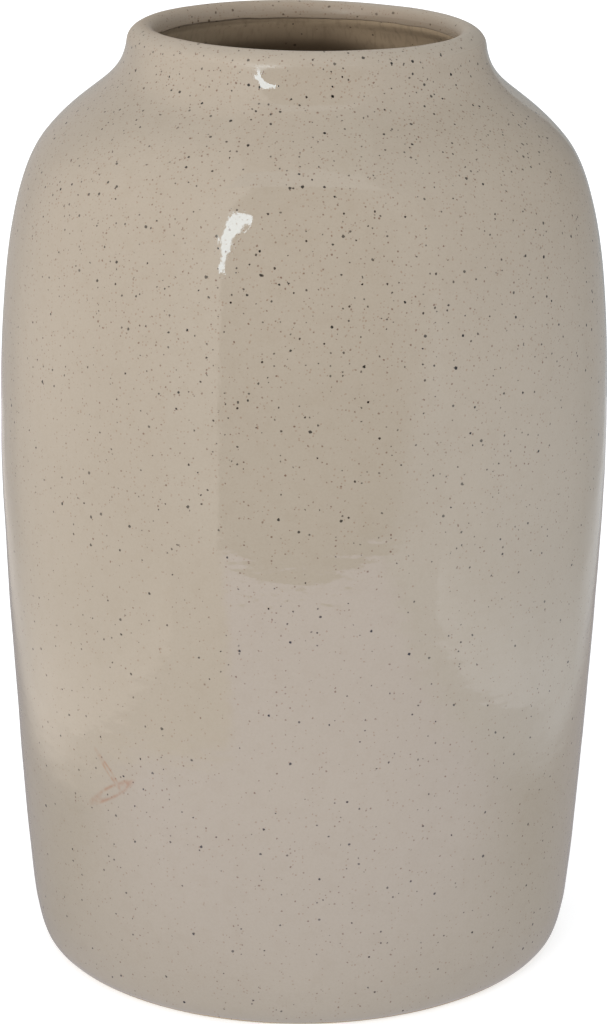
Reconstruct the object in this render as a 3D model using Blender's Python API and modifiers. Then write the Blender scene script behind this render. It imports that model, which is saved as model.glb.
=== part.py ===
"""A tall stoneware vase, built up as a potter builds it: turned clay sections that lock together
with a tongue in a groove, and two coats of glaze, one outside and one inside.

Lengths are in metres and +Z is up. The vase stands on Z = 0, centred on the Z axis.
"""
import math

import bpy

# The outside of the glazed vase, from the foot up. Each knot is a radius and a height.
FOOT_KNOT = (0.0767, 0.0)
HEEL_KNOT = (0.0826, 0.0118)
BELLY_KNOT = (0.09045, 0.1533)
SHOULDER_KNOT = (0.0764, 0.2476)
NECK_KNOT = (0.05205, 0.2755)
CREST_KNOT = (0.0473, 0.2800)
LIP_EDGE_KNOT = (0.0440, 0.2754)

# How the outline runs through its knots: the way it points there, in degrees from +X.
HEEL_WAY = 79.0
SHOULDER_WAY = 129.5
NECK_WAY = 97.0

# The layers of the wall.
GLAZE = 0.0008
CLAY_WALL = 0.0045
GAP = 0.0003

# The foot and the floor. The glaze ends at this station of the heel, just above the table.
GLAZE_LINE = 2
FOOT_INNER_RADIUS = 0.0685
FOOT_RECESS_RADIUS = 0.0650
FOOT_RECESS_CHAMFER = 0.0020
LEDGE_HEIGHT = 0.0040
FLOOR_RADIUS = 0.0690
FLOOR_TOP = 0.0105
FLOOR_FILLET = 0.0085
FLOOR_EDGE_BEVEL = 0.0006

# The tongue and groove between two sections, measured in from the clay's outer face.
GROOVE_START = 0.0013
GROOVE_WIDTH = 0.0019
GROOVE_DEPTH = 0.0020

TURN_STEPS = 36
SMOOTH_UP_TO = math.radians(40)

# Each finish is a colour, a roughness and how much clear coat lies on it.
BARE_CLAY = ((0.46, 0.37, 0.28), 0.8, 0.0)
SPECKLED_GLAZE = ((0.45, 0.39, 0.32), 0.25, 0.6)
LINER_GLAZE = ((0.40, 0.34, 0.28), 0.3, 0.5)


def step_along(point, way, distance):
    """The point that lies the distance away, in a direction given in degrees from +X."""
    turn = math.radians(way)
    return (point[0] + distance * math.cos(turn), point[1] + distance * math.sin(turn))


def curve(start, start_way, start_pull, end, end_way, end_pull, pieces):
    """Stations along a cubic curve: each one a point and the way the curve points there."""
    second = step_along(start, start_way, start_pull)
    third = step_along(end, end_way, -end_pull)
    stations = []
    for index in range(pieces + 1):
        t = index / pieces
        s = 1 - t
        corners = list(zip(start, second, third, end))
        point = [s**3 * a + 3 * s**2 * t * b + 3 * s * t**2 * c + t**3 * d for a, b, c, d in corners]
        slope = [s**2 * (b - a) + 2 * s * t * (c - b) + t**2 * (d - c) for a, b, c, d in corners]
        stations.append((tuple(point), math.degrees(math.atan2(slope[1], slope[0]))))
    return stations


def inside(stations, depth):
    """The stations' points moved the depth into the wall, square to the outline."""
    return [step_along(point, way + 90, depth) for point, way in stations]


# The outline's stretches, each from one knot to the next.
HEEL = curve(FOOT_KNOT, 0, 0.0040, HEEL_KNOT, HEEL_WAY, 0.0065, 7)
BELLY = curve(HEEL_KNOT, HEEL_WAY, 0.0097, BELLY_KNOT, 90, 0.0317, 5)
SHOULDER = curve(BELLY_KNOT, 90, 0.0372, SHOULDER_KNOT, SHOULDER_WAY, 0.0189, 6)
NECK = curve(SHOULDER_KNOT, SHOULDER_WAY, 0.0188, NECK_KNOT, NECK_WAY, 0.0133, 5)
LIP_OUTER = curve(NECK_KNOT, NECK_WAY, 0.0033, CREST_KNOT, 180, 0.0006, 3)
LIP_INNER = curve(CREST_KNOT, 180, 0.0033, LIP_EDGE_KNOT, 270, 0.0012, 3)

# The heel's joint is level. The others lie square to the wall.
HEEL_JOINT = (HEEL_KNOT, 90)

# How deep each layer's two faces lie under the outline.
CLAY_FACE = GLAZE + GAP
CLAY_BACK = CLAY_FACE + CLAY_WALL
LINER_FACE = CLAY_BACK + GAP
LINER_BACK = LINER_FACE + GLAZE


def fillet(offset, bottom=-90.0, top=0.0, pieces=4):
    """The round corner inside, between floor and wall, the offset in from the clay's face."""
    wall_radius = inside(BELLY[:1], CLAY_BACK)[0][0]
    centre = (wall_radius - FLOOR_FILLET, FLOOR_TOP + FLOOR_FILLET)
    reach = FLOOR_FILLET - offset
    ways = [bottom + (top - bottom) * index / pieces for index in range(pieces + 1)]
    return [step_along(centre, way, reach) for way in ways]


def fillet_way(height):
    """The direction, from the inside corner's centre, of its point at a height."""
    return math.degrees(math.asin((height - FLOOR_TOP - FLOOR_FILLET) / FLOOR_FILLET))


def groove(joint):
    """The groove in a section's top face, from its inner side to its outer side."""
    point, way = joint
    mouth_out = step_along(point, way + 90, CLAY_FACE + GROOVE_START)
    mouth_in = step_along(mouth_out, way + 90, GROOVE_WIDTH)
    bottom_in = step_along(mouth_in, way, -GROOVE_DEPTH)
    bottom_out = step_along(mouth_out, way, -GROOVE_DEPTH)
    return [mouth_in, bottom_in, bottom_out, mouth_out]


def tongue(joint):
    """The tongue under the section above, from its outer side to its inner side."""
    point, way = joint
    lifted = step_along(point, way, GAP)
    root_out = step_along(lifted, way + 90, CLAY_FACE + GROOVE_START + GAP)
    root_in = step_along(root_out, way + 90, GROOVE_WIDTH - 2 * GAP)
    tip_out = step_along(root_out, way, -GROOVE_DEPTH)
    tip_in = step_along(root_in, way, -GROOVE_DEPTH)
    return [root_out, tip_out, tip_in, root_in]


def joint_face(joint, lift, depth):
    """The point this deep in the wall, on the plane lifted above a joint."""
    point, way = joint
    return step_along(step_along(point, way, lift), way + 90, depth)


def finish(name, look):
    """One piece's own plain material, from its colour, roughness and coat."""
    colour, roughness, coat = look
    material = bpy.data.materials.new(name)
    material.use_nodes = True
    shader = material.node_tree.nodes["Principled BSDF"]
    shader.inputs["Base Color"].default_value = (*colour, 1)
    shader.inputs["Roughness"].default_value = roughness
    shader.inputs["Metallic"].default_value = 0
    shader.inputs["Coat Weight"].default_value = coat
    material.diffuse_color = (*colour, 1)
    return material


def turned(name, profile, look, collection):
    """A piece turned round Z. Its profile runs down the outer side, then back up the inner side.

    A profile that starts and ends on the axis makes a disc or a cup, and any other is a ring.
    """
    on_axis = profile[0][0] == 0
    corners = [(radius, 0, height) for radius, height in profile]
    count = len(corners)
    edges = [(index, (index + 1) % count) for index in range(count - on_axis)]
    drawing = bpy.data.meshes.new(name)
    drawing.from_pydata(corners, edges, [])
    piece = bpy.data.objects.new(name, drawing)
    collection.objects.link(piece)
    screw = piece.modifiers.new("Turn", "SCREW")
    screw.steps = TURN_STEPS
    screw.render_steps = TURN_STEPS
    screw.use_merge_vertices = True
    screw.merge_threshold = 0.00001
    bpy.context.view_layer.update()
    evaluated = piece.evaluated_get(bpy.context.evaluated_depsgraph_get())
    solid = bpy.data.meshes.new_from_object(evaluated)
    piece.modifiers.clear()
    piece.data = solid
    bpy.data.meshes.remove(drawing)
    solid.name = name
    solid.shade_smooth()
    solid.set_sharp_from_angle(angle=SMOOTH_UP_TO)
    solid.materials.append(finish(name + "_finish", look))
    return piece


def make_foot_ring(collection):
    """The turned ring that the vase stands on, bare underneath, with a ledge for the floor."""
    profile = [joint_face(HEEL_JOINT, 0, CLAY_FACE)]
    profile += inside(HEEL[GLAZE_LINE:-1], CLAY_FACE)[::-1]
    profile += inside(HEEL[:GLAZE_LINE], 0)[::-1]
    profile += [
        (FOOT_INNER_RADIUS, 0),
        (FOOT_RECESS_RADIUS, FOOT_RECESS_CHAMFER),
        (FOOT_RECESS_RADIUS, LEDGE_HEIGHT),
        (FLOOR_RADIUS + GAP, LEDGE_HEIGHT),
        (FLOOR_RADIUS + GAP, FLOOR_TOP),
    ]
    profile += fillet(0, top=fillet_way(HEEL_KNOT[1]), pieces=2)[1:]
    profile += groove(HEEL_JOINT)
    return turned("foot_ring", profile, BARE_CLAY, collection)


def make_floor_disc(collection):
    """The slab that closes the bottom. It lies on the foot ring's ledge."""
    underside = LEDGE_HEIGHT + GAP
    profile = [
        (0, FLOOR_TOP),
        (FLOOR_RADIUS, FLOOR_TOP),
        (FLOOR_RADIUS, underside + FLOOR_EDGE_BEVEL),
        (FLOOR_RADIUS - FLOOR_EDGE_BEVEL, underside),
        (0, underside),
    ]
    return turned("floor_disc", profile, BARE_CLAY, collection)


def section(name, joint, stations, inner, collection):
    """A clay section of the wall, with a tongue below and a groove on top.

    The stations start just above the joint that the section stands on. The inner face's points
    run up from that joint.
    """
    profile = inside(stations, CLAY_FACE)[::-1]
    profile += [joint_face(joint, GAP, CLAY_FACE)]
    profile += tongue(joint)
    profile += inner
    profile += groove(stations[-1])
    return turned(name, profile, BARE_CLAY, collection)


def make_belly_wall(collection):
    """The lower wall, from the heel to the widest place, with the round corner inside."""
    corner = fillet(0, bottom=fillet_way(HEEL_KNOT[1] + GAP), pieces=3)
    inner = corner + inside(BELLY[1:], CLAY_BACK)
    return section("belly_wall", HEEL_JOINT, BELLY[1:], inner, collection)


def make_shoulder_wall(collection):
    """The upper wall, which closes in from the widest place to the neck."""
    joint = SHOULDER[0]
    inner = [joint_face(joint, GAP, CLAY_BACK)] + inside(SHOULDER[1:], CLAY_BACK)
    return section("shoulder_wall", joint, SHOULDER[1:], inner, collection)


def make_neck_collar(collection):
    """The short collar that turns up into the neck."""
    joint = NECK[0]
    inner = [joint_face(joint, GAP, CLAY_BACK)] + inside(NECK[1:], CLAY_BACK)
    return section("neck_collar", joint, NECK[1:], inner, collection)


def make_lip_coil(collection):
    """The thick coil laid round the mouth. Its inner edge hangs over the neck's wall."""
    joint = NECK[-1]
    rounded = inside(LIP_OUTER[1:] + LIP_INNER[1:], CLAY_FACE)
    hanging_edge = (LIP_EDGE_KNOT[0] + CLAY_FACE, LIP_EDGE_KNOT[1] + GAP)
    profile = [point for point in rounded if point[1] > hanging_edge[1] + GAP][::-1]
    profile += [joint_face(joint, GAP, CLAY_FACE)]
    profile += tongue(joint)
    profile += [hanging_edge]
    return turned("lip_coil", profile, BARE_CLAY, collection)


def make_outer_glaze(collection):
    """The speckled coat: over the lip, down the outside, and ending just above the foot."""
    stations = HEEL[GLAZE_LINE:] + BELLY[1:] + SHOULDER[1:] + NECK[1:] + LIP_OUTER[1:] + LIP_INNER[1:]
    profile = inside(stations, 0)[::-1]
    profile += inside(stations, GLAZE)
    return turned("outer_glaze", profile, SPECKLED_GLAZE, collection)


def make_liner_glaze(collection):
    """The coat inside, one open cup from under the lip down to the floor."""
    wall = BELLY[1:] + SHOULDER[1:] + NECK[1:]
    profile = [(0, FLOOR_TOP + GAP + GLAZE)]
    profile += fillet(GAP + GLAZE)
    profile += inside(wall, LINER_BACK)
    profile += inside(wall, LINER_FACE)[::-1]
    profile += fillet(GAP)[::-1]
    profile += [(0, FLOOR_TOP + GAP)]
    return turned("liner_glaze", profile, LINER_GLAZE, collection)


def build():
    for thing in list(bpy.data.objects):
        bpy.data.objects.remove(thing)
    vase = bpy.data.collections.new("stoneware_vase")
    bpy.context.scene.collection.children.link(vase)
    make_foot_ring(vase)
    make_floor_disc(vase)
    make_belly_wall(vase)
    make_shoulder_wall(vase)
    make_neck_collar(vase)
    make_lip_coil(vase)
    make_outer_glaze(vase)
    make_liner_glaze(vase)


build()
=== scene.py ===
"""The finished look of a tall stoneware vase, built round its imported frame.

Lengths are in metres and +Z is up. The vase stands on Z = 0, centred on the Z axis.
"""
import math

import bpy
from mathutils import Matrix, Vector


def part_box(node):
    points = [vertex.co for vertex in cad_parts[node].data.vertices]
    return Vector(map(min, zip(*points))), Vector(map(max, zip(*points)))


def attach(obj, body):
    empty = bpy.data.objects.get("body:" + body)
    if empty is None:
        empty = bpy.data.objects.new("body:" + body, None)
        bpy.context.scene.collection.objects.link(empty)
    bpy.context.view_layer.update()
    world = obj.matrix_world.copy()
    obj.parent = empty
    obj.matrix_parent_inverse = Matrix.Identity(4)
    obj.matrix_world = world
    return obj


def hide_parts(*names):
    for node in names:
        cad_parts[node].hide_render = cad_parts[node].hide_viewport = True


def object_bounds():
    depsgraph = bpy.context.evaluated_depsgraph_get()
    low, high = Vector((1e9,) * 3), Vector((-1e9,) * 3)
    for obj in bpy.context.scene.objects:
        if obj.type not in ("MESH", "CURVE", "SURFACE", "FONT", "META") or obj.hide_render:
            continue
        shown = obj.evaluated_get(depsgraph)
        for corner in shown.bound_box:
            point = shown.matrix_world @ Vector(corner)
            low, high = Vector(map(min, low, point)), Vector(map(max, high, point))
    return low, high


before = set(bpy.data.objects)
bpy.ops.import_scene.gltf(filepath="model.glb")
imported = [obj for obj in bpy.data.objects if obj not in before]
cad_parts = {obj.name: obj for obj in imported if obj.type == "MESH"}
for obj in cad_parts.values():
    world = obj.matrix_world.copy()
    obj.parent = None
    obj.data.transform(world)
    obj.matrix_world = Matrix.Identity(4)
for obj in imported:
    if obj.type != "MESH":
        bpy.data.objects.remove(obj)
cad_low, cad_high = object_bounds()

# The outside of the vase, from the foot up: radius and height of each knot.
foot_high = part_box("foot_ring")[1]
FOOT_KNOT = (0.0767, 0.0)
HEEL_KNOT = (0.0826, foot_high.z)
BELLY_KNOT = (cad_high.x, 0.1533)
SHOULDER_KNOT = (0.0764, 0.2476)
NECK_KNOT = (0.05205, 0.2755)
CREST_KNOT = (0.0473, cad_high.z)
LIP_EDGE_KNOT = (0.0440, 0.2754)

# The layers of the wall.
GLAZE = 0.0008
CLAY_WALL = 0.0045
GAP = 0.0003
CLAY_FACE = GLAZE + GAP
CLAY_BACK = CLAY_FACE + CLAY_WALL
LINER_FACE = CLAY_BACK + GAP
LINER_BACK = LINER_FACE + GLAZE

# The foot, the floor and the joints. The glaze ends at this share of the heel's curve.
GLAZE_LINE = 0.29
FOOT_INNER_RADIUS = 0.0685
FOOT_RECESS_RADIUS = 0.0650
FOOT_RECESS_CHAMFER = 0.0020
LEDGE_HEIGHT = 0.0040
FLOOR_RADIUS = 0.0690
FLOOR_TOP = 0.0105
FLOOR_FILLET = 0.0085
GROOVE_START = 0.0013
GROOVE_WIDTH = 0.0019
GROOVE_DEPTH = 0.0020

# How far the pot is out of true: the mouth stands this far to the right, and slopes down to the
# right by this much.
LEAN = 0.0020
RIM_TILT = 0.016

# The slow ripple of the outer coat, the waves of its end inside the mouth, and how far to the
# left the top of the inside coat is moved under the lip.
RIPPLE = 0.00030
RIPPLE_SIZE = 0.022
END_WAVE = 0.0005
END_WAVE_SIZE = 0.008
INSIDE_SHIFT = 0.0003

# How many faces go round the outer coat and the foot, and round every other piece.
FINE_STEPS = 256
PLAIN_STEPS = 128


def step_along(point, way, distance):
    """The point that lies the distance away, in a direction given in degrees from +X."""
    turn = math.radians(way)
    return (point[0] + distance * math.cos(turn), point[1] + distance * math.sin(turn))


def curve(start, start_way, start_pull, end, end_way, end_pull):
    """A cubic curve as a function: from a share of it to a point and the way it points there."""
    second = step_along(start, start_way, start_pull)
    third = step_along(end, end_way, -end_pull)
    corners = list(zip(start, second, third, end))

    def station(t):
        s = 1 - t
        point = [s**3 * a + 3 * s**2 * t * b + 3 * s * t**2 * c + t**3 * d for a, b, c, d in corners]
        slope = [s**2 * (b - a) + 2 * s * t * (c - b) + t**2 * (d - c) for a, b, c, d in corners]
        return tuple(point), math.degrees(math.atan2(slope[1], slope[0]))

    return station


HEEL = curve(FOOT_KNOT, 0, 0.0040, HEEL_KNOT, 79, 0.0065)
BELLY = curve(HEEL_KNOT, 79, 0.0097, BELLY_KNOT, 90, 0.0317)
SHOULDER = curve(BELLY_KNOT, 90, 0.0372, SHOULDER_KNOT, 129.5, 0.0189)
NECK = curve(SHOULDER_KNOT, 129.5, 0.0188, NECK_KNOT, 97, 0.0133)
LIP_OUTER = curve(NECK_KNOT, 97, 0.0033, CREST_KNOT, 180, 0.0006)
LIP_INNER = curve(CREST_KNOT, 180, 0.0033, LIP_EDGE_KNOT, 270, 0.0012)


def stations(stretch, pieces, start=0.0):
    """Stations along a stretch of the outline, without its first one."""
    return [stretch(start + (1 - start) * index / pieces) for index in range(1, pieces + 1)]


def inside(row, depth):
    """The stations' points moved the depth into the wall, square to the outline."""
    return [step_along(point, way + 90, depth) for point, way in row]


def arc(centre, radius, first, last, pieces):
    """Points round a centre, from one direction to another."""
    turn = [first + (last - first) * index / pieces for index in range(pieces + 1)]
    return [step_along(centre, way, radius) for way in turn]


def draw(name, profile, closed=True):
    """Extrudes one point along a profile in the XZ plane. It leaves the piece in edit mode."""
    bpy.ops.object.select_all(action="DESELECT")
    bpy.ops.mesh.primitive_plane_add(size=GLAZE, enter_editmode=True, location=(0, 0, 0))
    bpy.context.object.name = name
    bpy.ops.mesh.select_mode(type="VERT")
    bpy.ops.mesh.select_all(action="SELECT")
    bpy.ops.mesh.merge(type="CENTER")
    bpy.ops.transform.translate(value=(profile[0][0], 0, profile[0][1]))
    ends = profile[1:] + profile[:1] if closed else profile[1:]
    for (radius, height), (next_radius, next_height) in zip(profile, ends):
        move = (next_radius - radius, 0, next_height - height)
        bpy.ops.mesh.extrude_region_move(TRANSFORM_OT_translate={"value": move})
    return bpy.context.object


def turned(name, profile, steps):
    """A piece turned round Z from a profile: a ring, or a cup or disc if it starts on the axis."""
    piece = draw(name, profile, closed=profile[0][0] > 0)
    bpy.ops.mesh.select_all(action="SELECT")
    bpy.ops.mesh.spin(steps=steps, angle=math.tau, center=(0, 0, 0), axis=(0, 0, 1))
    bpy.ops.mesh.select_all(action="SELECT")
    bpy.ops.mesh.remove_doubles(threshold=0.000002)
    bpy.ops.mesh.normals_make_consistent(inside=False)
    bpy.ops.object.mode_set(mode="OBJECT")
    bpy.ops.object.shade_smooth_by_angle(angle=math.radians(50))
    return piece


def apply(piece, kind, **settings):
    """Adds one modifier to a piece and applies it."""
    bpy.ops.object.select_all(action="DESELECT")
    bpy.context.view_layer.objects.active = piece
    piece.select_set(True)
    modifier = piece.modifiers.new(kind.title(), kind)
    for setting, value in settings.items():
        setattr(modifier, setting, value)
    bpy.ops.object.modifier_apply(modifier=modifier.name)


def leaning_cage():
    """A lattice round the vase. Its top is moved over and tilted, as the pot's mouth is."""
    size = [high - low for low, high in zip(cad_low, cad_high)]
    middle = [(low + high) / 2 for low, high in zip(cad_low, cad_high)]
    bpy.ops.object.select_all(action="DESELECT")
    bpy.ops.object.add(type="LATTICE", location=middle)
    cage = bpy.context.object
    cage.scale = size
    for axis in "uvw":
        setattr(cage.data, "interpolation_type_" + axis, "KEY_LINEAR")
    for point in cage.data.points:
        if point.co.z > 0:
            point.co_deform.x += LEAN / size[0]
            point.co_deform.z -= math.copysign(RIM_TILT * size[0] / 2, point.co.x) / size[2]
    return cage


def select_points(piece, wanted):
    """Opens a piece in edit mode with only the points selected that the test picks."""
    bpy.ops.object.select_all(action="DESELECT")
    bpy.context.view_layer.objects.active = piece
    piece.select_set(True)
    bpy.ops.object.mode_set(mode="EDIT")
    bpy.ops.mesh.select_mode(type="VERT")
    bpy.ops.mesh.select_all(action="DESELECT")
    bpy.ops.object.mode_set(mode="OBJECT")
    for point in piece.data.vertices:
        point.select = wanted(point.co)
    bpy.ops.object.mode_set(mode="EDIT")


def shift_points(piece, wanted, move):
    """Moves the points that the test picks."""
    select_points(piece, wanted)
    bpy.ops.transform.translate(value=move)
    bpy.ops.object.mode_set(mode="OBJECT")


def under_the_lip(point):
    """True for the inside coat's points that close up under the lip."""
    near_edge = math.hypot(point.x, point.y) < LIP_EDGE_KNOT[0] + GLAZE
    return near_edge and point.z > NECK_KNOT[1] - 0.003


def lip_end(point):
    """True for the outer coat's points at its wavy end inside the mouth."""
    near_edge = math.hypot(point.x, point.y) < LIP_EDGE_KNOT[0] + GLAZE * 1.1
    return near_edge and point.z < LIP_EDGE_KNOT[1] + GLAZE / 2


def ripple(piece, name, depth, size, **settings):
    """Gives a glazed piece the slow ripple of a coat that ran a little before it set."""
    waves = bpy.data.textures.new(name, "CLOUDS")
    waves.noise_scale = size
    waves.noise_depth = 1
    apply(piece, "DISPLACE", texture=waves, strength=depth, texture_coords="LOCAL", **settings)


def make_lip_end_wavy(piece):
    """Moves the coat's end inside the mouth a little up and down."""
    select_points(piece, lip_end)
    bpy.ops.object.vertex_group_add()
    bpy.ops.object.vertex_group_assign()
    bpy.ops.object.mode_set(mode="OBJECT")
    group = piece.vertex_groups[0].name
    ripple(piece, "wavy_end", END_WAVE, END_WAVE_SIZE, direction="Z", vertex_group=group)
    bpy.ops.object.vertex_group_remove(all=True)


class Link:
    """A node's output. Arithmetic on it adds the Math nodes that work it out."""

    def __init__(self, recipe, socket):
        self.recipe = recipe
        self.socket = socket

    def output(self, name):
        return Link(self.recipe, self.socket.node.outputs[name])

    def math(self, operation, first, second, clamp=False):
        settings = {"operation": operation, "use_clamp": clamp}
        return self.recipe.node("Math", settings, {0: first, 1: second})

    def clamped(self):
        return self.math("ADD", self, 0, clamp=True)

    def __add__(self, other):
        return self.math("ADD", self, other)

    def __radd__(self, other):
        return self.math("ADD", other, self)

    def __sub__(self, other):
        return self.math("SUBTRACT", self, other)

    def __rsub__(self, other):
        return self.math("SUBTRACT", other, self)

    def __mul__(self, other):
        return self.math("MULTIPLY", self, other)

    def __rmul__(self, other):
        return self.math("MULTIPLY", other, self)

    def __truediv__(self, other):
        return self.math("DIVIDE", self, other)

    def __abs__(self):
        return self.math("ABSOLUTE", self, 0)

    def __lt__(self, other):
        return self.math("LESS_THAN", self, other)


class Recipe:
    """One material and the nodes that make it."""

    def __init__(self, name):
        self.material = bpy.data.materials.new(name)
        self.material.use_nodes = True
        self.tree = self.material.node_tree
        self.shader = self.tree.nodes["Principled BSDF"]
        self.place = self.node("TexCoord", {}, {}).output("Object")

    def feed(self, socket, value):
        if isinstance(value, Link):
            self.tree.links.new(value.socket, socket)
        else:
            socket.default_value = value

    def node(self, kind, settings, inputs):
        """Adds a node with its settings and its inputs, and gives its first output."""
        node = self.tree.nodes.new("ShaderNode" + kind)
        for setting, value in settings.items():
            setattr(node, setting, value)
        for name, value in inputs.items():
            self.feed(node.inputs[name], value)
        return Link(self, next(socket for socket in node.outputs if socket.enabled))

    def blend(self, share, first, second):
        """Mixes two colours."""
        inputs = {"Factor": share, 6: first, 7: second}
        return self.node("Mix", {"data_type": "RGBA"}, inputs)

    def noise(self, size, detail=2, place=None):
        """Soft noise with features of this size, from 0 to 1."""
        inputs = {"Vector": place or self.place, "Scale": 1 / size, "Detail": detail}
        return self.node("TexNoise", {}, inputs)

    def split(self, vector):
        return self.node("SeparateXYZ", {}, {0: vector})

    def rise(self, value, low, high):
        """A smooth step from 0 to 1 as the value goes from low to high. It falls if low is more."""
        settings = {"interpolation_type": "SMOOTHSTEP"}
        return self.node("MapRange", settings, {"Value": value, "From Min": low, "From Max": high})

    def set(self, **values):
        """Sets or feeds the shader's inputs, such as Base_Color."""
        for name, value in values.items():
            self.feed(self.shader.inputs[name.replace("_", " ")], value)


def colour(red, green, blue):
    """A colour as it is seen on a screen, from 0 to 255, turned into light."""
    def light(share):
        return share / 12.92 if share <= 0.04045 else ((share + 0.055) / 1.055) ** 2.4

    return (light(red / 255), light(green / 255), light(blue / 255), 1)


# Specks in the glaze: spacing, largest radius, how many of the places hold one, colour, strength.
SPECK_EDGE = 0.00012
SPECK_LAYERS = (
    (0.00095, 0.00029, 0.66, colour(124, 86, 60), 0.44),
    (0.00126, 0.00030, 0.40, colour(90, 52, 32), 0.76),
    (0.00168, 0.00035, 0.33, colour(30, 14, 9), 1.00),
    (0.00280, 0.00048, 0.52, colour(8, 5, 4), 1.00),
)
SPECK_SHAKE = 0.00045

# The stain is this far from the axis. Its strokes reach this deep, so that the wall is inside them.
STAIN_RADIUS = 0.0872
STAIN_DEPTH = 0.03


def specks(recipe, place, spacing, radius, soft, share):
    """Round specks strewn through the glaze. It gives their mask and a random tone for each."""
    cells = recipe.node("TexVoronoi", {}, {"Vector": place, "Scale": 1 / spacing})
    chance = recipe.node("SeparateColor", {}, {0: cells.output("Color")})
    size = (chance.output("Green") * 0.6 + 0.4) * radius
    mask = ((size - cells.output("Distance") * spacing) / soft + 0.5).clamped()
    return mask * (chance.output("Red") < share), chance.output("Blue")


def on_wall(turn, height):
    """A place on the wall by the stain: degrees round from the front to the left, and height."""
    way = math.radians(turn)
    return (-STAIN_RADIUS * math.sin(way), -STAIN_RADIUS * math.cos(way), height)


def brush_ring(recipe, turn, height, tilt, half_length, half_width, line):
    """An oval line on the wall: how far round, how high and how steep it lies, and its sizes."""
    placed = recipe.node("Mapping", {"vector_type": "TEXTURE"}, {
        "Vector": recipe.place,
        "Location": on_wall(turn, height),
        "Rotation": (0, -math.radians(tilt), -math.radians(turn)),
        "Scale": (half_length, STAIN_DEPTH, half_width),
    })
    reach = recipe.node("VectorMath", {"operation": "LENGTH"}, {0: placed}).output("Value")
    return (1 - abs(reach - 1) * (half_width / line)).clamped()


def rusty_stain(recipe, base):
    """The small iron stain, low on the front left: two drawn strokes and a dark spot."""
    patchy = recipe.rise(recipe.noise(0.0022, 3), 0.35, 0.65)
    long_stroke = brush_ring(recipe, 39.1, 0.0686, 33, 0.0080, 0.0015, 0.0007)
    short_stroke = brush_ring(recipe, 39.3, 0.0752, -48, 0.0048, 0.0007, 0.0006)
    strokes = long_stroke.math("MAXIMUM", long_stroke, short_stroke)
    base = recipe.blend(strokes * (patchy * 0.4 + 0.12), base, colour(152, 94, 54))
    ends = {0: recipe.place, 1: on_wall(36.3, 0.0745)}
    away = recipe.node("VectorMath", {"operation": "DISTANCE"}, ends).output("Value")
    spot = recipe.rise(away, 0.00050, 0.00020)
    return recipe.blend(spot, base, colour(48, 34, 26))


def speckled_glaze():
    """Warm grey glaze with iron specks, and one rusty stain low on the front."""
    recipe = Recipe("speckled_glaze")
    place = recipe.place
    height = recipe.split(place).output("Z")
    wobble = recipe.node("TexNoise", {}, {"Vector": place, "Scale": 1800, "Detail": 1}).output("Color")
    shake = {0: wobble, 1: (SPECK_SHAKE, SPECK_SHAKE, SPECK_SHAKE), 2: place}
    shaky = recipe.node("VectorMath", {"operation": "MULTIPLY_ADD"}, shake)
    base = recipe.blend(recipe.noise(0.05, 3), colour(166, 155.5, 141.5), colour(173, 162.5, 148.5))
    clouds = recipe.rise(recipe.noise(0.005, 4), 0.45, 0.75)
    grain = recipe.rise(recipe.noise(0.0006, 2), 0.35, 0.70)
    base = recipe.blend(clouds * 0.12, base, colour(153, 138, 119))
    base = recipe.blend(grain * 0.10, base, colour(143, 130, 113))
    crowd = (recipe.noise(0.03, 2) * 2.4 - 0.2).clamped()
    density = (((height - 0.13) / 0.135).clamped() * 0.67 + 0.33) * (crowd * 0.7 + 0.3)
    bumps = 0
    for spacing, radius, share, tint, strength in SPECK_LAYERS:
        mask, tone = specks(recipe, shaky, spacing, radius, SPECK_EDGE, density * share)
        base = recipe.blend(mask * (tone * 0.3 + 0.7) * strength, base, tint)
        bumps = bumps + mask
    base = rusty_stain(recipe, base)
    flat = recipe.node("Mapping", {}, {"Vector": place, "Scale": (1, 1, 0)})
    radius = recipe.node("VectorMath", {"operation": "LENGTH"}, {0: flat}).output("Value")
    lip_face = recipe.rise(radius, CREST_KNOT[0] + 0.0005, CREST_KNOT[0] - 0.0025)
    base = recipe.blend(lip_face * 0.35, base, colour(140, 116, 90))
    rings = recipe.node("Mapping", {}, {"Vector": place, "Scale": (70, 70, 280)})
    throwing = recipe.node("TexNoise", {}, {"Vector": rings, "Scale": 1, "Detail": 1})
    skin = throwing + recipe.noise(0.0045, 1) * 0.6 + recipe.noise(0.0016, 2) * 0.22 + bumps * 0.05
    bump = recipe.node("Bump", {}, {"Strength": 0.6, "Distance": 0.00012, "Height": skin})
    dry_rim = recipe.rise(height, CREST_KNOT[1] - 0.006, CREST_KNOT[1] - 0.001) * 0.5
    recipe.set(Base_Color=base, Normal=bump, Roughness=recipe.noise(0.02, 2) * 0.03 + 0.02 + dry_rim)
    return recipe.material


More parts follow.
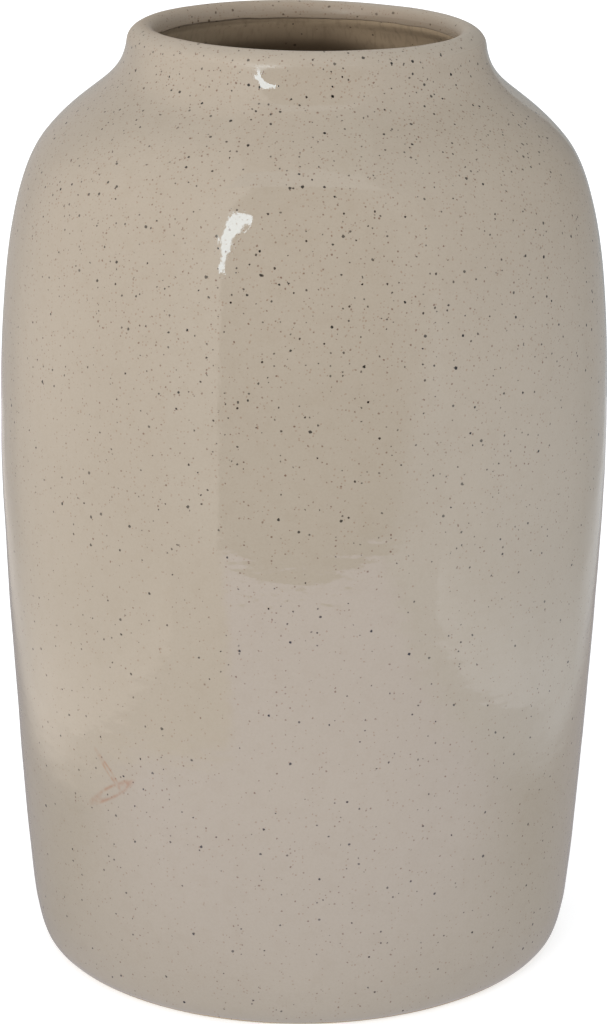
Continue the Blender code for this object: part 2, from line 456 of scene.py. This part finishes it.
def liner_glaze():
    """The glaze inside, less speckled. Its colour is painted light and shade: darker brown down into
    the mouth, and lighter to the sides, most to the right.
    """
    recipe = Recipe("liner_glaze")
    height = recipe.split(recipe.place).output("Z")
    across = recipe.split(recipe.place).output("X")
    # Painted light and shade: the inside is painted darker with depth, and lit further down on the
    # right and a little further on the left.
    to_right, to_left = recipe.rise(across, 0.005, 0.040), recipe.rise(0 - across, 0.01, 0.04)
    painted_light_shift = to_right * 0.0090 + to_left * 0.0030 - 0.0006
    level = height + painted_light_shift + recipe.noise(0.01, 2) * 0.002
    painted_light_share = recipe.rise(level, NECK_KNOT[1] - 0.0100, NECK_KNOT[1] - 0.0005)
    base = recipe.blend(painted_light_share, colour(94, 80, 64), colour(180, 161, 136))
    # Painted shadow: a dark wavy line just under the lip's edge, strongest on the left.
    wavy = height + recipe.noise(0.004, 2) * 0.0012
    edge = recipe.rise(wavy, LIP_EDGE_KNOT[1] - 0.0016, LIP_EDGE_KNOT[1] - 0.0004)
    edge = edge * recipe.rise(0 - across, -0.03, 0.01)
    base = recipe.blend(edge * 0.4, base, colour(60, 46, 35))
    streaks = recipe.node("Mapping", {}, {"Vector": recipe.place, "Scale": (900, 900, 90)})
    brushed = recipe.node("TexNoise", {}, {"Vector": streaks, "Scale": 1, "Detail": 2})
    base = recipe.blend(recipe.rise(brushed, 0.45, 0.75) * 0.3, base, colour(104, 90, 74))
    mask, tone = specks(recipe, recipe.place, 0.0024, 0.00045, SPECK_EDGE, 0.4)
    base = recipe.blend(mask * (tone * 0.6 + 0.4), base, colour(52, 38, 30))
    skin = recipe.noise(0.008, 2)
    bump = recipe.node("Bump", {}, {"Strength": 0.3, "Distance": 0.0002, "Height": skin})
    recipe.set(Base_Color=base, Normal=bump, Roughness=recipe.noise(0.02, 2) * 0.15 + 0.25)
    return recipe.material


def bare_clay():
    """Fired clay without glaze: matt, sandy, with grog and iron grains."""
    recipe = Recipe("bare_clay")
    base = recipe.blend(recipe.noise(0.012, 4), colour(176, 156, 132), colour(196, 178, 154))
    mask, tone = specks(recipe, recipe.place, 0.0016, 0.00030, 0.0001, 0.5)
    base = recipe.blend(mask * (tone * 0.6 + 0.3), base, colour(104, 80, 60))
    sand = recipe.noise(0.0007, 3)
    bump = recipe.node("Bump", {}, {"Strength": 0.6, "Distance": 0.0002, "Height": sand})
    recipe.set(Base_Color=base, Normal=bump, Roughness=sand * 0.2 + 0.7)
    return recipe.material


# The coats and the clay.
def make_glaze_coat():
    """The coat outside: over the lip, down the wall, and a rounded edge just above the foot."""
    fine = stations(HEEL, 14, GLAZE_LINE) + stations(BELLY, 60) + stations(SHOULDER, 56)
    fine += stations(NECK, 26) + stations(LIP_OUTER, 12) + stations(LIP_INNER, 10)
    plain = stations(HEEL, 7, GLAZE_LINE) + stations(BELLY, 12) + stations(SHOULDER, 16)
    plain += stations(NECK, 13) + stations(LIP_OUTER, 6) + stations(LIP_INNER, 5)
    edge_point, edge_way = HEEL(GLAZE_LINE)
    lip_point, lip_way = LIP_INNER(1)
    half = GLAZE / 2
    low_round = arc(step_along(edge_point, edge_way + 90, half), half, edge_way + 90, edge_way + 270, 6)
    top_round = arc(step_along(lip_point, lip_way + 90, half), half, lip_way - 90, lip_way + 90, 6)
    profile = inside(fine[:-1], 0) + top_round
    profile += inside(plain[:-1], GLAZE)[::-1] + low_round
    return turned("glaze_coat", profile, FINE_STEPS)


def floor_fillet(offset, first=-90.0, pieces=8):
    """The round corner inside, between floor and wall."""
    wall_radius = inside([BELLY(0)], CLAY_BACK)[0][0]
    centre = (wall_radius - FLOOR_FILLET, FLOOR_TOP + FLOOR_FILLET)
    return arc(centre, FLOOR_FILLET - offset, first, 0, pieces)


def make_inside_coat():
    """The coat inside, one open cup from under the lip down to the floor."""
    wall = stations(BELLY, 24) + stations(SHOULDER, 24) + stations(NECK, 16)[:-1]
    top_radius, top_height = inside([NECK(1)], LINER_FACE)[0]
    lip_radius, lip_height = LIP_EDGE_KNOT[0], LIP_EDGE_KNOT[1] - GLAZE / 2
    fillet = [
        (lip_radius + 0.0011, lip_height - 0.0022),
        (lip_radius + 0.0007, lip_height - 0.0013),
        (lip_radius + 0.0004, lip_height - 0.0006),
        (lip_radius + 0.0004, lip_height + 0.0003),
        (top_radius, top_height),
    ]
    floor = [(radius, FLOOR_TOP + GAP + GLAZE) for radius in (0, 0.02, 0.04, 0.06)]
    under = [(radius, FLOOR_TOP + GAP) for radius in (0.06, 0.04, 0.02, 0)]
    profile = floor + floor_fillet(GAP + GLAZE)
    profile += inside(wall, LINER_BACK) + fillet + inside(wall, LINER_FACE)[::-1]
    profile += floor_fillet(GAP)[::-1] + under
    return turned("inside_coat", profile, PLAIN_STEPS)


def groove(joint):
    """The groove in a section's top face, from its inner side to its outer side."""
    point, way = joint
    mouth_out = step_along(point, way + 90, CLAY_FACE + GROOVE_START)
    mouth_in = step_along(mouth_out, way + 90, GROOVE_WIDTH)
    return [mouth_in, step_along(mouth_in, way, -GROOVE_DEPTH),
            step_along(mouth_out, way, -GROOVE_DEPTH), mouth_out]


def tongue(joint):
    """The tongue under the section above, from its outer side to its inner side."""
    point, way = joint
    root_out = step_along(step_along(point, way, GAP), way + 90, CLAY_FACE + GROOVE_START + GAP)
    root_in = step_along(root_out, way + 90, GROOVE_WIDTH - 2 * GAP)
    return [root_out, step_along(root_out, way, -GROOVE_DEPTH),
            step_along(root_in, way, -GROOVE_DEPTH), root_in]


def joint_face(joint, lift, depth):
    """The point this deep in the wall, on the plane lifted above a joint."""
    point, way = joint
    return step_along(step_along(point, way, lift), way + 90, depth)


HEEL_JOINT = (HEEL_KNOT, 90)


def fillet_way(height):
    """The direction, from the inside corner's centre, of its point at a height."""
    return math.degrees(math.asin((height - FLOOR_TOP - FLOOR_FILLET) / FLOOR_FILLET))


def make_foot():
    """The bare foot: a soft bearing edge, a chamfer inside, and a ledge for the floor."""
    glazed = [HEEL(GLAZE_LINE)] + stations(HEEL, 8, GLAZE_LINE)[:-1]
    bare = [HEEL(GLAZE_LINE * share) for share in (0, 0.2, 0.4, 0.6, 0.8)]
    profile = [joint_face(HEEL_JOINT, 0, CLAY_FACE)]
    profile += inside(glazed, CLAY_FACE)[::-1] + inside(bare, 0)[::-1]
    profile += arc((FOOT_INNER_RADIUS, GLAZE), GLAZE, 270, 210, 4)
    profile += [
        (FOOT_RECESS_RADIUS, FOOT_RECESS_CHAMFER),
        (FOOT_RECESS_RADIUS, LEDGE_HEIGHT),
        (FLOOR_RADIUS + GAP, LEDGE_HEIGHT),
        (FLOOR_RADIUS + GAP, FLOOR_TOP),
    ]
    corner = floor_fillet(0, -90, 16)
    profile += [point for point in corner[1:] if point[1] < HEEL_KNOT[1]]
    profile += [floor_fillet(0, fillet_way(HEEL_KNOT[1]), 1)[0]]
    profile += groove(HEEL_JOINT)
    return turned("bare_foot", profile, FINE_STEPS)


def make_floor_slab():
    """The slab that closes the bottom, with a softly rounded lower edge."""
    underside = LEDGE_HEIGHT + GAP
    profile = [(radius, FLOOR_TOP) for radius in (0, 0.03, 0.06)]
    profile += [(FLOOR_RADIUS, FLOOR_TOP)]
    profile += arc((FLOOR_RADIUS - GLAZE, underside + GLAZE), GLAZE, 0, -90, 5)
    profile += [(radius, underside) for radius in (0.06, 0.03, 0)]
    return turned("floor_slab", profile, PLAIN_STEPS)


def make_section(name, joint, stretch, pieces, corner=None):
    """A clay section of the wall, with a tongue below and a groove on top."""
    row = stations(stretch, pieces)
    profile = inside(row, CLAY_FACE)[::-1]
    profile += [joint_face(joint, GAP, CLAY_FACE)] + tongue(joint)
    profile += corner or [joint_face(joint, GAP, CLAY_BACK)]
    profile += inside(row, CLAY_BACK) + groove(row[-1])
    return turned(name, profile, PLAIN_STEPS)


def make_lip_roll():
    """The coil round the mouth. Its inner edge hangs over the neck's wall."""
    joint = NECK(1)
    rounded = inside(stations(LIP_OUTER, 8) + stations(LIP_INNER, 6), CLAY_FACE)
    hanging_edge = (LIP_EDGE_KNOT[0] + CLAY_FACE, LIP_EDGE_KNOT[1] + GAP)
    profile = [point for point in rounded if point[1] > hanging_edge[1] + GAP][::-1]
    profile += [joint_face(joint, GAP, CLAY_FACE)] + tongue(joint) + [hanging_edge]
    return turned("lip_roll", profile, PLAIN_STEPS)


glaze_coat = make_glaze_coat()
inside_coat = make_inside_coat()
shift_points(inside_coat, under_the_lip, (-INSIDE_SHIFT, 0, 0))
bare_foot = make_foot()
floor_slab = make_floor_slab()
heel_corner = floor_fillet(0, fillet_way(HEEL_KNOT[1] + GAP), 6)
belly_section = make_section("belly_section", HEEL_JOINT, BELLY, 14, heel_corner)
shoulder_section = make_section("shoulder_section", BELLY(1), SHOULDER, 18)
neck_section = make_section("neck_section", SHOULDER(1), NECK, 14)
lip_roll = make_lip_roll()

ripple(glaze_coat, "slow_ripple", RIPPLE, RIPPLE_SIZE)
make_lip_end_wavy(glaze_coat)
cage = leaning_cage()
clay = bare_clay()
finishes = (
    (glaze_coat, speckled_glaze(), "speckled_glaze", "outer_glaze"),
    (inside_coat, liner_glaze(), "liner_glaze", "liner_glaze"),
    (bare_foot, clay, "clay", "foot_ring"),
    (floor_slab, clay, "clay", "floor_disc"),
    (belly_section, clay, "clay", "belly_wall"),
    (shoulder_section, clay, "clay", "shoulder_wall"),
    (neck_section, clay, "clay", "neck_collar"),
    (lip_roll, clay, "clay", "lip_coil"),
)
for piece, material, slot, node in finishes:
    apply(piece, "LATTICE", object=cage)
    piece.data.materials.append(material)
    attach(piece, "root")
    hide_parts(node)
bpy.data.objects.remove(cage)


# The stage: a pale floor, and round the vase a light tent that only its gloss mirrors. The tent
# has two side walls, a back, a top and a floor, and a dim room in front of its open side.
TENT_LEFT = -0.245
TENT_RIGHT = 0.26
TENT_FLOOR_END = -0.44
TENT_WALL_END = -0.25
TENT_BACK = 0.60
TENT_TOP = 1.08
TENT_FLOOR_WIDTH = 1.2
ROOM = -1.0
ROOM_MIDDLE = 1.0
ROOM_SIZE = (6, 3)
TENT_GLOW = 1.6
LAMP_GLOW = 10.5
FLOOR_SIZE = 24

# The soft light: an even studio, a card above and one below that dim it, and a soft warm lamp.
STUDIO_STRENGTH = 1.03
TOP_SHADE_HEIGHT = 0.9
TOP_SHADE_SIZE = (1.2, 1.2)
TOP_SHADE_GLOW = 0.75
LOW_SHADE_HEIGHT = -0.001
LOW_SHADE_SIZE = (0.7, 0.7)
LOW_SHADE_GLOW = 0.78
SOFT_LAMP_PLACE = (-0.84, -1.42, 0.98)
SOFT_LAMP_SIZE = 0.8
SOFT_LAMP_WATTS = 8.6
SOFT_LAMP_TIP = 63
SOFT_LAMP_TURN = -31

# The camera: its lens in millimetres, where it stands, and the height it is aimed at.
LENS = 112.5
EYE_BACK = 0.924
EYE_HEIGHT = 0.4236
EYE_ASIDE = 0.0012
AIM_HEIGHT = 0.1323


def set_rays(piece, seen):
    """Says which rays meet a piece of the stage."""
    for rays in ("camera", "diffuse", "glossy", "transmission", "volume_scatter", "shadow"):
        setattr(piece, "visible_" + rays, rays in seen)


def glowing(name, work_out):
    """A stage finish that only glows. The function gives its glow, as a share of the most."""
    recipe = Recipe(name)
    recipe.set(Base_Color=(0, 0, 0, 1), Roughness=1.0, Specular_IOR_Level=0.0)
    recipe.set(Emission_Color=work_out(recipe), Emission_Strength=TENT_GLOW)
    return recipe.material


def fade(recipe, axis, start, end, near, far):
    """Fades smoothly from one glow to another along an axis, between two places on it."""
    place = recipe.split(recipe.place).output(axis)
    return recipe.blend(recipe.rise(place, start, end), share_of(near), share_of(far))


def share_of(glow):
    """A glow as a share of the most, which is how a stage finish takes it."""
    return (*(part / TENT_GLOW for part in glow), 1)


def scaled(recipe, tint, share):
    """A colour times a share, which may be more than one."""
    return recipe.node("VectorMath", {"operation": "SCALE"}, {0: tint, "Scale": share}).output("Vector")


def warm_side(recipe):
    return fade(recipe, "Y", -0.06, 0.20, (1.36, 1.20, 1.06), (0.50, 0.47, 0.45))


def cool_side(recipe):
    return fade(recipe, "Y", -0.12, 0.16, (1.15, 1.20, 1.30), (0.42, 0.43, 0.44))


def left_wall_glow(recipe):
    height = recipe.split(recipe.place).output("Z")
    return scaled(recipe, warm_side(recipe), recipe.rise(height, 0.06, 0) * 0.45 + 1)


def right_wall_glow(recipe):
    height = recipe.split(recipe.place).output("Z")
    level = 1 - recipe.rise(height, 0.06, 0.30) * 0.65 + recipe.rise(height, 0.06, 0) * 0.55
    return scaled(recipe, cool_side(recipe), level)


def back_wall_glow(recipe):
    return fade(recipe, "X", TENT_LEFT, TENT_RIGHT, (0.47, 0.45, 0.43), (0.34, 0.36, 0.37))


def top_glow(recipe):
    return fade(recipe, "X", TENT_LEFT, TENT_RIGHT, (0.95, 0.80, 0.70), (0.50, 0.52, 0.50))


def room_glow(recipe):
    """The dim room before the tent. The right wall comes in along a slant, the left one is bright."""
    place = recipe.split(recipe.place)
    across, height = place.output("X"), place.output("Z")
    dim = fade(recipe, "Z", 0, 2, (0.35, 0.32, 0.27), (0.40, 0.35, 0.29))
    right = recipe.rise(across, 0.50, 0.85) * 0.35 + recipe.rise(across - height, 0.65, 1.15) * 0.65
    lit = recipe.blend(right, dim, share_of((1.0, 1.06, 1.15)))
    return recipe.blend(recipe.rise(across, -0.570, -0.580), lit, share_of((1.44, 1.33, 1.20)))


def floor_glow(recipe):
    """Cool in front, warm beside the left wall and to the left of the opening, dim behind."""
    place = recipe.split(recipe.place)
    across, depth = place.output("X"), place.output("Y")
    tint = fade(recipe, "Y", -0.15, -0.01, (1.48, 1.39, 1.70), (0.38, 0.36, 0.37))
    front_left = recipe.rise((depth + 0.085) * 0.61 - across, -0.01, 0.02)
    front_left = front_left * recipe.rise(0 - across - depth * 1.08, 0.32, 0.40)
    beside_left = recipe.rise(0 - across, 0.17, 0.235)
    warm = front_left.math("MAXIMUM", front_left, beside_left)
    foot = recipe.rise(depth, -0.05, 0.08) * 0.5 + 1
    tint = recipe.blend(warm, tint, scaled(recipe, warm_side(recipe), foot))
    return recipe.blend(recipe.rise(across, 0.18, 0.235), tint, scaled(recipe, cool_side(recipe), foot))


def make_card(name, middle, turn, size, work_out):
    """A flat card of the tent. It is seen in the glaze, and neither lights nor shades the vase."""
    bpy.ops.object.select_all(action="DESELECT")
    turn = [math.radians(angle) for angle in turn]
    bpy.ops.mesh.primitive_plane_add(size=1, location=middle, rotation=turn)
    card = bpy.context.object
    card.name = name
    card.scale = (*size, 1)
    bpy.ops.object.transform_apply(location=True, rotation=True, scale=True)
    card.data.materials.append(glowing(name + "_glow", work_out))
    set_rays(card, ("glossy",))


def make_tent():
    """The tent's two sides, back, top and floor, and the room in front of it."""
    depth, middle = TENT_BACK - TENT_WALL_END, (TENT_BACK + TENT_WALL_END) / 2
    width, across = TENT_RIGHT - TENT_LEFT, (TENT_LEFT + TENT_RIGHT) / 2
    up = TENT_TOP / 2
    make_card("tent_left", (TENT_LEFT, middle, up), (0, 90, 0), (TENT_TOP, depth), left_wall_glow)
    make_card("tent_right", (TENT_RIGHT, middle, up), (0, 90, 0), (TENT_TOP, depth), right_wall_glow)
    make_card("tent_back", (across, TENT_BACK, up), (90, 0, 0), (width, TENT_TOP), back_wall_glow)
    make_card("tent_top", (across, middle, TENT_TOP), (0, 0, 0), (width, depth), top_glow)
    floor_middle = (TENT_BACK + TENT_FLOOR_END) / 2
    floor_size = (TENT_FLOOR_WIDTH, TENT_BACK - TENT_FLOOR_END)
    make_card("tent_floor", (0, floor_middle, -GAP), (0, 0, 0), floor_size, floor_glow)
    make_card("room", (0, ROOM, ROOM_MIDDLE), (90, 0, 0), ROOM_SIZE, room_glow)


def make_lamp():
    """The lamp that stands behind the edge of the tent's opening. The glaze shows it as a hook."""
    foot, top, left = 0.43, 1.0, -0.56
    width, reach = 0.04, 0.18
    outline = (
        (left + width, foot), (left, foot), (left - width / 2, foot + 0.2),
        (left, top - 0.14), (left + width, top),
        (left + reach, top - 0.09), (left + reach + 0.02, top - 0.21),
        (left + reach / 2, top - 0.30), (left + width * 1.5, foot + 0.12),
    )
    lamp = draw("hooked_lamp", list(outline))
    bpy.ops.mesh.select_all(action="SELECT")
    bpy.ops.mesh.remove_doubles(threshold=0.0001)
    bpy.ops.mesh.edge_face_add()
    bpy.ops.transform.translate(value=(0, ROOM + 0.05, 0))
    bpy.ops.object.mode_set(mode="OBJECT")
    recipe = Recipe("lamp_glow")
    recipe.set(Base_Color=(0, 0, 0, 1), Specular_IOR_Level=0.0)
    recipe.set(Emission_Color=(0.76, 0.91, 1, 1), Emission_Strength=LAMP_GLOW)
    lamp.data.materials.append(recipe.material)
    set_rays(lamp, ("glossy",))


def make_floor():
    """The pale floor. It glows a little, so that it comes out white round the vase."""
    bpy.ops.object.select_all(action="DESELECT")
    bpy.ops.mesh.primitive_plane_add(size=FLOOR_SIZE, location=(0, 0, 0))
    floor = bpy.context.object
    floor.name = "floor"
    recipe = Recipe("pale_floor")
    recipe.set(Base_Color=(0.75, 0.76, 0.78, 1), Roughness=1.0, Specular_IOR_Level=0.0)
    recipe.set(Emission_Color=(1, 1, 1, 1), Emission_Strength=0.5)
    floor.data.materials.append(recipe.material)
    set_rays(floor, ("camera", "shadow", "transmission"))


def make_shade(name, middle, size, level):
    """A card that only soft light meets. It glows less than the studio, so its side is dimmer."""
    bpy.ops.object.select_all(action="DESELECT")
    bpy.ops.mesh.primitive_plane_add(size=1, location=middle)
    shade = bpy.context.object
    shade.name = name
    shade.scale = (*size, 1)
    bpy.ops.object.transform_apply(location=True, rotation=True, scale=True)
    recipe = Recipe(name + "_grey")
    recipe.set(Base_Color=(0, 0, 0, 1), Specular_IOR_Level=0.0)
    recipe.set(Emission_Color=(0.93, 0.98, 1, 1), Emission_Strength=level)
    shade.data.materials.append(recipe.material)
    set_rays(shade, ("diffuse",))


def make_lights():
    """An even white light all round, dimmed above and below, and one soft warm lamp from the left."""
    make_shade("top_shade", (0, 0, TOP_SHADE_HEIGHT), TOP_SHADE_SIZE, TOP_SHADE_GLOW)
    make_shade("low_shade", (0, 0, LOW_SHADE_HEIGHT), LOW_SHADE_SIZE, LOW_SHADE_GLOW)
    light = bpy.data.lights.new("soft_lamp", "AREA")
    light.size = SOFT_LAMP_SIZE
    light.energy = SOFT_LAMP_WATTS
    light.color = (1, 0.90, 0.80)
    lamp = bpy.data.objects.new("soft_lamp", light)
    lamp.location = SOFT_LAMP_PLACE
    lamp.rotation_euler = (math.radians(SOFT_LAMP_TIP), 0, math.radians(SOFT_LAMP_TURN))
    lamp.visible_camera = False
    lamp.visible_glossy = False
    bpy.context.scene.collection.objects.link(lamp)
    world = bpy.data.worlds.new("bright_studio")
    bpy.context.scene.world = world
    world.use_nodes = True
    sky = world.node_tree.nodes["Background"]
    sky.inputs["Color"].default_value = (1, 1, 1, 1)
    sky.inputs["Strength"].default_value = STUDIO_STRENGTH


def make_camera():
    """A long lens in front of the vase, looking down on it a little."""
    camera = bpy.data.cameras.new("camera")
    camera.lens = LENS
    camera.sensor_width = 36
    eye = bpy.data.objects.new("camera", camera)
    eye.location = (EYE_ASIDE, -EYE_BACK, EYE_HEIGHT)
    eye.rotation_euler = (math.pi / 2 - math.atan2(EYE_HEIGHT - AIM_HEIGHT, EYE_BACK), 0, 0)
    bpy.context.scene.collection.objects.link(eye)
    bpy.context.scene.camera = eye


make_floor()
make_tent()
make_lamp()
make_lights()
make_camera()
bpy.context.scene.view_settings.view_transform = "Standard"
